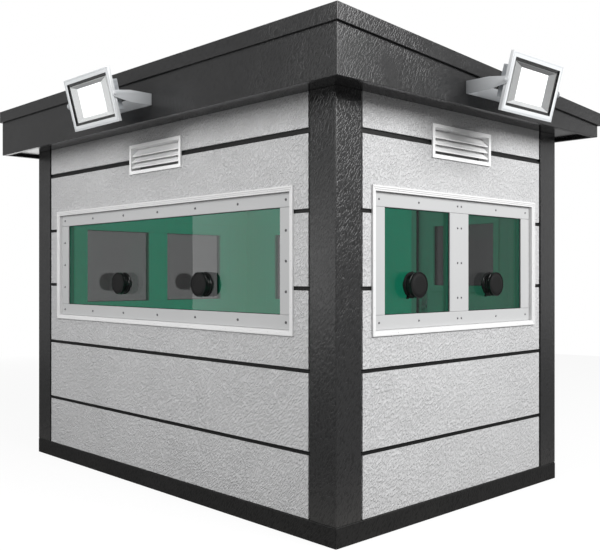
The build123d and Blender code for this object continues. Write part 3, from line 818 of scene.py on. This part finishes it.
def makeLips(side):
    # The boards' lower edges, which narrow all grooves but the top one
    reach = boxIn(wallPlace(side), f"{side}_boards")[1].x - lip["endGap"]
    profile = [
        (lip["back"], lip["low"]),
        (lip["front"] + lip["chamfer"], lip["low"]),
        (lip["front"], lip["low"] + lip["chamfer"]),
        (lip["front"], lip["high"]),
        (lip["back"], lip["high"]),
    ]
    bm = bmesh.new()
    for height in groove["heights"][:-1]:
        addAlongGroove(bm, side, height, profile, reach, groove["doorGap"] + lip["endGap"])
    builtPiece(bm, f"{side}_board_lips", finish["boards"], "booth")


for side in sides:
    makeGrooves(side)
    makeLips(side)
print("grooves done")


# Windows

window = {
    "moulding": 27 * mm,
    "sideBar": 91 * mm,
    "endBar": 74 * mm,
    "barFront": 18 * mm,
    "barBack": 27.8 * mm,
    "glassFront": 28 * mm,
    "lipDepth": 60 * mm,
    "lipFront": 64.2 * mm,
    "mullion": 174 * mm,
    "sealWidth": 3.5 * mm,
    "sealLap": 1 * mm,
    "sealFront": 25.5 * mm,
    "sealBack": 27.9 * mm,
    "longScrew": (7.5 * mm, 4.2 * mm, 2.4 * mm),
    "shortScrew": (6.0 * mm, 3.0 * mm, 2.4 * mm),
    "screwsAlong": {"front": 7, "back": 5},
    "screwRows": 4,
    "mullionPair": 17 * mm,
    "mullionHeights": (1.159, 1.350, 1.541),
    "rivet": (2.2 * mm, 0.8 * mm, 0.4 * mm),
    "rivetProud": 5 * mm,
    "rivetsAlong": {"front": 7, "right": 4, "back": 4, "left": 4},
    "rivetShares": (-0.62, 0, 0.62),
}


def windowBox(side):
    # Middle and half size, as (x, z) on the wall
    low, high = boxIn(wallPlace(side), f"{side}_window_frame")
    middle = ((low.x + high.x) / 2, (low.z + high.z) / 2)
    half = ((high.x - low.x) / 2, (high.z - low.z) / 2)
    return middle, half


def paneBoxes(side):
    # Middle and half size of each clear pane between the bars
    middle, half = windowBox(side)
    clearX = half[0] - window["moulding"] - window["sideBar"]
    clearZ = half[1] - window["moulding"] - window["endBar"]
    if side in longSides:
        return [(middle, (clearX, clearZ))]
    paneHalf = (clearX - window["mullion"] / 2) / 2
    shift = window["mullion"] / 2 + paneHalf
    return [((middle[0] + sign * shift, middle[1]), (paneHalf, clearZ)) for sign in (-1, 1)]


def screwPlaces(side):
    # Where the clamp bars are screwed: (x, z) on the wall
    middle, half = windowBox(side)
    edgeX = half[0] - window["moulding"] - window["sideBar"] / 2
    edgeZ = half[1] - window["moulding"] - window["endBar"] / 2
    places = []
    if side in longSides:
        along = window["screwsAlong"][side]
        rows = window["screwRows"]
        for index in range(along):
            x = middle[0] - edgeX + 2 * edgeX * index / (along - 1)
            places += [(x, middle[1] - edgeZ), (x, middle[1] + edgeZ)]
        for index in range(1, rows):
            z = middle[1] - edgeZ + 2 * edgeZ * index / rows
            places += [(middle[0] - edgeX, z), (middle[0] + edgeX, z)]
        return places
    paneMiddle = paneBoxes(side)[1][0][0] - middle[0]
    pair = window["mullionPair"]
    for x in (-edgeX, -paneMiddle, -pair, pair, paneMiddle, edgeX):
        places += [(middle[0] + x, middle[1] - edgeZ), (middle[0] + x, middle[1] + edgeZ)]
    for z in window["mullionHeights"]:
        places += [(middle[0] - pair, z), (middle[0] + pair, z)]
    return places


def rivetPlaces(side):
    middle, half = windowBox(side)
    inset = window["moulding"] / 2
    places = []
    count = window["rivetsAlong"][side]
    for index in range(count):
        x = middle[0] + (half[0] - inset) * ((2 * index + 1) / count - 1)
        places += [(x, middle[1] - half[1] + inset), (x, middle[1] + half[1] - inset)]
    for share in window["rivetShares"]:
        z = middle[1] + share * half[1]
        places += [(middle[0] - half[0] + inset, z), (middle[0] + half[0] - inset, z)]
    return places


def paintInside(piece, side, depth, material, edgeGlowMaterial=None):
    # Deeper in the wall than depth, what faces the room gets its colour, and the rest one of its own, which
    # is a painted glow where one is given
    for painted in (material, edgeGlowMaterial):
        if painted:
            piece.data.materials.append(painted)
    toWall = wallPlace(side).inverted()
    out = facingOut(side)
    for face in piece.data.polygons:
        if (toWall @ face.center).y > depth:
            if face.normal.dot(out) < -0.5:
                face.material_index = 1
            elif edgeGlowMaterial:
                face.material_index = 2


def paintGlassEdgeGlow(piece, side, depth, facing):
    # The faces that lie against the thick glass get a painted glow
    slot = len(piece.data.materials)
    piece.data.materials.append(finish["paintedGlowEdge"])
    toWall = wallPlace(side).inverted()
    for face in piece.data.polygons:
        if abs((toWall @ face.center).y - depth) < 1 * mm and face.normal.dot(facing) > 0.9:
            face.material_index = slot


def makeWindow(side):
    place = wallPlace(side)
    out = facingOut(side)
    moulding = softCopy(f"{side}_window_frame", finish["white"], edges["window"])
    paintInside(moulding, side, window["lipDepth"], finish["lining"], finish["revealGlow"])
    paintGlassEdgeGlow(moulding, side, window["lipFront"], out)
    bars = softCopy(f"{side}_clamp_bars", finish["clamp"], edges["window"])
    paintGlassEdgeGlow(bars, side, window["barBack"], -out)
    bm = bmesh.new()
    for middle, half in paneBoxes(side):
        outer = [size + window["sealLap"] for size in half]
        inner = [size - window["sealWidth"] for size in half]
        addFrame(bm, place, middle, outer, inner, window["sealFront"], window["sealBack"])
    builtPiece(bm, f"{side}_window_seals", finish["seal"], "booth")
    spots = [(place @ Vector((x, window["barFront"], z)), out) for x, z in screwPlaces(side)]
    size = window["longScrew" if side in longSides else "shortScrew"]
    screws(f"{side}_window_screws", spots, size, finish["screw"])
    spots = [(place @ Vector((x, -window["rivetProud"], z)), out) for x, z in rivetPlaces(side)]
    screws(f"{side}_moulding_rivets", spots, window["rivet"], finish["clamp"])


for side in sides:
    makeWindow(side)
print("windows done")


# Round ports

port = {
    "places": {"front": (-0.373, 0.466), "right": (-0.408, 0.298), "left": (-0.298, 0.408)},
    "height": 1.232,
    "steps": 48,
    "smoothAngle": 32,
    "knobAngle": 240,
    "knobReach": 75.5 * mm,
    "knobSteps": 16,
    "knobGap": 0.3 * mm,
}
# (radius, height) in mm over the glass: inner ring, tube, flange, two collars, cap with its groove
portProfile = [
    (0, -40.3), (42, -40.3), (43, -39.3), (43, -36.3), (40, -36.3), (40, 0.3),
    (68.5, 0.3), (69.5, 1.3), (69.5, 5.5), (68, 7), (61, 7), (60, 8), (59, 12), (59, 21),
    (61, 23), (63.5, 24), (64.5, 26), (63.5, 28), (61, 29), (61, 31),
    (66.5, 31.5), (68, 33), (68, 42), (66.5, 43), (66.5, 44.5), (68.5, 45.5), (68.5, 54.2), (67.5, 55.7),
    (64, 56), (61.6, 55.6), (61.2, 52.5), (59.4, 52.5), (59.0, 55.2), (57.5, 55.9), (40, 56), (0, 56),
]
knobProfile = [(0, 0), (6, 0), (7, 1), (7, 10), (5, 12), (0, 12)]


def makePorts():
    bm = bmesh.new()
    body, knob = [[(r * mm, h * mm) for r, h in profile] for profile in (portProfile, knobProfile)]
    angle, reach = radians(port["knobAngle"]), port["knobReach"]
    knobPlace = Matrix.Translation((reach * cos(angle), reach * sin(angle), port["knobGap"]))
    for side, places in port["places"].items():
        for x in places:
            place = wallPlace(side) @ Matrix.Translation((x, window["glassFront"], port["height"]))
            place = place @ Matrix.Rotation(radians(90), 4, "X")
            addLathe(bm, place, body, port["steps"])
            addLathe(bm, place @ knobPlace, knob, port["knobSteps"])
    piece = builtPiece(bm, "round_ports_turned", finish["port"], "booth")
    shadeSmooth(piece.data, port["smoothAngle"])
    paintPortFaces(piece.data)
    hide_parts("round_ports")


def paintPortFaces(mesh):
    # The flat front faces are matt. Each wall paints only the ports near it
    mesh.materials.append(finish["portFace"])
    for side in port["places"]:
        toWall = wallPlace(side).inverted()
        out = facingOut(side)
        for face in mesh.polygons:
            if abs((toWall @ face.center).y) < halfWidth / 4 and face.normal.dot(out) > 0.9:
                face.material_index = 1


makePorts()
print("ports done")


# Door

door = {
    "jambDepth": 30 * mm,
    "leafDepth": 44 * mm,
    "smoothAngle": 30,
    "handleSmoothAngle": 35,
}


def makeDoor():
    jamb = softCopy("door_frame", finish["posts"], edges["door"], smoothAngle=door["smoothAngle"])
    paintInside(jamb, "back", door["jambDepth"], finish["doorLining"])
    leaf = softCopy("door_leaf", finish["door"], edges["door"], smoothAngle=door["smoothAngle"])
    paintInside(leaf, "back", door["leafDepth"], finish["doorLining"])
    trim = softCopy("door_window_frame", finish["white"], edges["window"])
    paintInside(trim, "back", door["jambDepth"], finish["doorLining"], finish["revealGlow"])
    softCopy("door_handle", finish["steel"], edges["handle"], smoothAngle=door["handleSmoothAngle"])


makeDoor()
print("door done")


# Floodlights

lamp = {
    "sides": ("front", "right"),
    "tilt": 15,
    "smoothAngle": 35,
    "opening": (213.3 * mm, 119.8 * mm),  # this and the next three are half sizes round the lamp's axis
    "pocket": (219.5 * mm, 126 * mm),
    "tray": (197.2 * mm, 103.7 * mm),
    "panel": (128.6 * mm, 81.6 * mm),
    "rimMiddle": 60 * mm,  # a flat rim has its middle this near the axis
    "bodyFront": 9.1 * mm,
    "ribs": (34 * mm, 41 * mm, 48 * mm, 55 * mm),
    "ribPlace": 202 * mm,
    "ribHalf": 78 * mm,
    "ribWidth": 2.6 * mm,
    "ribProud": 2.4 * mm,
    "lines": (5 * mm, 9 * mm),
    "lineWidth": 1.2 * mm,
    "lineProud": 0.4 * mm,
    "lineDepth": 1 * mm,
}
# Painted shade of each tray: the tone of its flat rim, and of its four slopes at the rim and at the light
# panel, darker where its frame would shade it
shades = {
    "front": {
        "rim": 0.6,
        "top": (0.24, 0.85),
        "left": (0.95, 0.95),
        "right": (0.90, 1.0),
        "bottom": (1.0, 1.0),
    },
    "right": {
        "rim": 0.15,
        "top": (0.03, 0.13),
        "left": (0.42, 0.62),
        "right": (0.30, 0.60),
        "bottom": (0.85, 0.85),
    },
}


def lampPlace(side):
    # From its tilt joint, x along the lamp, y along its axis towards the fins, z up
    spots = {joint["name"]: joint["pos_m"] for joint in frame["record"]["behaviour"]["joints"]}
    turn = Matrix.Rotation(radians(wallTurns[side]), 4, "Z") @ Matrix.Rotation(radians(lamp["tilt"]), 4, "X")
    return Matrix.Translation(spots[f"{side}_lamp_tilt"]) @ turn


def makeLamp(side):
    place = lampPlace(side)
    toLamp = place.inverted()
    smoothAngle = lamp["smoothAngle"]
    softCopy(f"{side}_lamp_yoke", finish["bracket"], edges["lamp"], smoothAngle=smoothAngle)
    bezel = softCopy(f"{side}_lamp_bezel", finish["lampWhite"], edges["lamp"], smoothAngle=smoothAngle)
    bezel.data.materials.append(finish["seal"])
    for face in bezel.data.polygons:
        facing = toLamp.to_3x3() @ face.normal
        if abs(facing.y) < 0.5 and within(bezel.data, face, toLamp, lamp["opening"]):
            face.material_index = 1
    addBezelLines(side, bezel.data, place)
    housing = softCopy(f"{side}_lamp_housing", finish["lampBody"], edges["lampBody"], 1)
    housing.data.materials.append(finish["seal"])
    housing.data.materials.append(finish["reflector"])
    paintTray(housing.data, toLamp, shades[side])
    bm = bmesh.new()
    for sign in (-1, 1):
        x0, x1 = sorted((sign * lamp["ribPlace"], sign * (lamp["ribPlace"] + lamp["ribProud"])))
        for y in lamp["ribs"]:
            addBox(bm, place, (x0, y, -lamp["ribHalf"]), (x1, y + lamp["ribWidth"], lamp["ribHalf"]))
    builtPiece(bm, f"{side}_lamp_side_ribs", finish["lampBody"], bodyOf[f"{side}_lamp_housing"])


def addBezelLines(side, mesh, place):
    # Fine double line along the frame's outer edge
    spots = [place.inverted() @ vertex.co for vertex in mesh.vertices]
    front = min(spot.y for spot in spots)
    back = front + lamp["lineDepth"]
    half = [max(spot[axis] for spot in spots if spot.y < back) for axis in (0, 2)]
    bm = bmesh.new()
    for inset in lamp["lines"]:
        outer = [size - inset for size in half]
        inner = [size - lamp["lineWidth"] for size in outer]
        addFrame(bm, place, (0, 0), outer, inner, front - lamp["lineProud"], back)
    builtPiece(bm, f"{side}_lamp_frame_lines", finish["lampBody"], bodyOf[f"{side}_lamp_bezel"])


def within(mesh, face, toLamp, half):
    # Whether all corners of a face are inside a rectangle round the lamp's axis
    spots = [toLamp @ mesh.vertices[index].co for index in face.vertices]
    return all(abs(spot.x) < half[0] and abs(spot.z) < half[1] for spot in spots)


def paintTray(mesh, toLamp, trayShade):
    # Behind the lens the tray is pale under its painted shade, and the channel round it is black
    shade = mesh.attributes.new("shade", "FLOAT", "CORNER")
    for face in mesh.polygons:
        spot = toLamp @ face.center
        if spot.y > lamp["bodyFront"] or not within(mesh, face, toLamp, lamp["pocket"]):
            continue
        face.material_index = 2 if within(mesh, face, toLamp, lamp["tray"]) else 1
        if max(abs(spot.x), abs(spot.z)) < lamp["rimMiddle"]:
            for loop in face.loop_indices:
                shade.data[loop].value = trayShade["rim"]
            continue
        if abs(spot.x) > lamp["panel"][0]:
            atRim, atPanel = trayShade["right" if spot.x > 0 else "left"]
        else:
            atRim, atPanel = trayShade["top" if spot.z > 0 else "bottom"]
        for loop in face.loop_indices:
            corner = toLamp @ mesh.vertices[mesh.loops[loop].vertex_index].co
            inner = abs(corner.x) < lamp["panel"][0] and abs(corner.z) < lamp["panel"][1]
            shade.data[loop].value = atPanel if inner else atRim


for side in lamp["sides"]:
    makeLamp(side)
print("floodlights done")


# CAD pieces that stay as they are

plain = {
    "soffit": "soffit",
    "floor_deck": "floor",
    "front_wall": "lining",
    "right_wall": "lining",
    "left_wall": "lining",
    "back_wall_left": "lining",
    "back_wall_right": "lining",
    "back_wall_over_door": "lining",
    "door_window_glass": "doorGlass",
}
for side in sides:
    plain[f"{side}_window_glass"] = "glass" if side in longSides else "sideGlass"
for side in lamp["sides"]:
    plain[f"{side}_lamp_lens"] = "lens"
    plain[f"{side}_lamp_led"] = "light"
for nodeName, key in plain.items():
    node = frame["nodes"][nodeName]
    node.data.materials.clear()
    node.data.materials.append(finish[key])
print("plain pieces painted:", len(plain))


# Floor, light and camera

stage = {
    "floorSize": 18.0,
    "floorSteps": 64,
    "floorColour": (0.14, 0.14, 0.14, 1),
    "seenColour": (0.96, 0.96, 0.96, 1),
    "glowShare": 0.88,
    "worldLevel": 0.42,
    "glassLevel": 0.72,
    "glossLevel": 0.33,
}
lights = {
    "key light": {"place": (7.5, 1.8, 4.7), "aim": (1.5, -0.3, 1.3), "size": (3.0, 3.4), "power": 450.0},
    "side light": {"place": (7.9, -1.3, 4.5), "aim": (1.5, -0.3, 1.3), "size": (3.0, 3.4), "power": 335.0},
    "high light": {"place": (0.4, -5.9, 3.8), "aim": (0, -1.0, 1.2), "size": (3.2, 3.0), "power": 243.0},
    "low light": {"place": (-0.5, -8.5, 1.8), "aim": (0, -1.0, 1.4), "size": (4.0, 2.0), "power": 50.0},
    "band card": {"place": (-5.0, -6.9, 1.45), "aim": (0.4, -1.0, 1.4), "size": (3.3, 1.9), "power": 33.0},
    "right card": {"place": (4.4, 8.8, 2.0), "aim": (1.5, 0.5, 1.6), "size": (3.0, 3.2), "power": 16.0},
    "back card": {"place": (-8.8, 2.3, 1.0), "aim": (-1.6, 0.0, 1.6), "size": (5.0, 2.4), "power": 50.0},
    "ceiling light": {"place": (0, 0, 2.14), "aim": (0, 0, 0), "size": (2.7, 1.7), "power": 11.0},
    "floor light": {"place": (0, 0, 0.14), "aim": (0, 0, 2), "size": (2.7, 1.7), "power": 11.0},
}
view = {
    "place": (4.1846, -3.7942, 1.2813),
    "turn": 0.8088,
    "lens": 49.776,
    "sensor": 36.0,
}


def makeFloor():
    # Seen straight or through the glass it is nearly white. Its bounced light is greyer
    bm = bmesh.new()
    bmesh.ops.create_circle(bm, cap_ends=True, segments=stage["floorSteps"], radius=stage["floorSize"] / 2)
    mesh = finishMesh(bm, "studio_floor")
    floor = bpy.data.objects.new("studio_floor", mesh)
    bpy.context.scene.collection.objects.link(floor)
    material = bpy.data.materials.new("studio floor")
    material.use_nodes = True
    tree = material.node_tree
    tree.nodes.clear()
    path = nodeIn(tree, "ShaderNodeLightPath")
    seen = maths(tree, "MAXIMUM", path.outputs["Is Camera Ray"], path.outputs["Is Transmission Ray"])
    matt = nodeIn(tree, "ShaderNodeBsdfDiffuse")
    feed(tree, matt.inputs["Color"], mixColour(tree, seen, stage["floorColour"], stage["seenColour"]))
    glow = nodeIn(tree, "ShaderNodeEmission")
    mixed = nodeIn(tree, "ShaderNodeMixShader")
    feed(tree, mixed.inputs[0], maths(tree, "MULTIPLY", seen, stage["glowShare"]))
    feed(tree, mixed.inputs[1], matt.outputs[0])
    feed(tree, mixed.inputs[2], glow.outputs[0])
    feed(tree, nodeIn(tree, "ShaderNodeOutputMaterial").inputs["Surface"], mixed.outputs[0])
    mesh.materials.append(material)


def makeWorld():
    # White to the camera, dimmer through the glass, as light on the booth and in reflections
    world = bpy.data.worlds.new("studio")
    bpy.context.scene.world = world
    world.use_nodes = True
    tree = world.node_tree
    tree.nodes.clear()
    path = nodeIn(tree, "ShaderNodeLightPath")
    through = maths(tree, "MULTIPLY", path.outputs["Is Transmission Ray"], stage["glassLevel"])
    seen = maths(tree, "MAXIMUM", path.outputs["Is Camera Ray"], through)
    less = maths(tree, "MULTIPLY", path.outputs["Is Glossy Ray"], stage["worldLevel"] - stage["glossLevel"])
    level = maths(tree, "MAXIMUM", seen, maths(tree, "SUBTRACT", stage["worldLevel"], less))
    background = nodeIn(tree, "ShaderNodeBackground")
    background.inputs["Color"].default_value = (1, 1, 1, 1)
    feed(tree, background.inputs["Strength"], level)
    feed(tree, nodeIn(tree, "ShaderNodeOutputWorld").inputs["Surface"], background.outputs[0])


def areaLight(name, place, aim, size, power):
    source = bpy.data.lights.new(name, "AREA")
    source.energy = power
    source.shape = "RECTANGLE"
    source.size, source.size_y = size
    item = bpy.data.objects.new(name, source)
    bpy.context.scene.collection.objects.link(item)
    item.location = place
    item.rotation_euler = (Vector(aim) - Vector(place)).to_track_quat("-Z", "Y").to_euler()
    item.visible_camera = False
    item.visible_transmission = False
    item.visible_glossy = name not in ("ceiling light", "floor light")


def makeCamera():
    camera = bpy.data.cameras.new("camera")
    camera.sensor_fit = "HORIZONTAL"
    camera.sensor_width = view["sensor"]
    camera.lens = view["lens"]
    item = bpy.data.objects.new("camera", camera)
    bpy.context.scene.collection.objects.link(item)
    item.location = view["place"]
    item.rotation_euler = (pi / 2, 0, view["turn"])
    bpy.context.scene.camera = item
    bpy.context.scene.view_settings.view_transform = "Standard"


makeFloor()
makeWorld()
for name, values in lights.items():
    areaLight(name, **values)
makeCamera()
print("studio done")
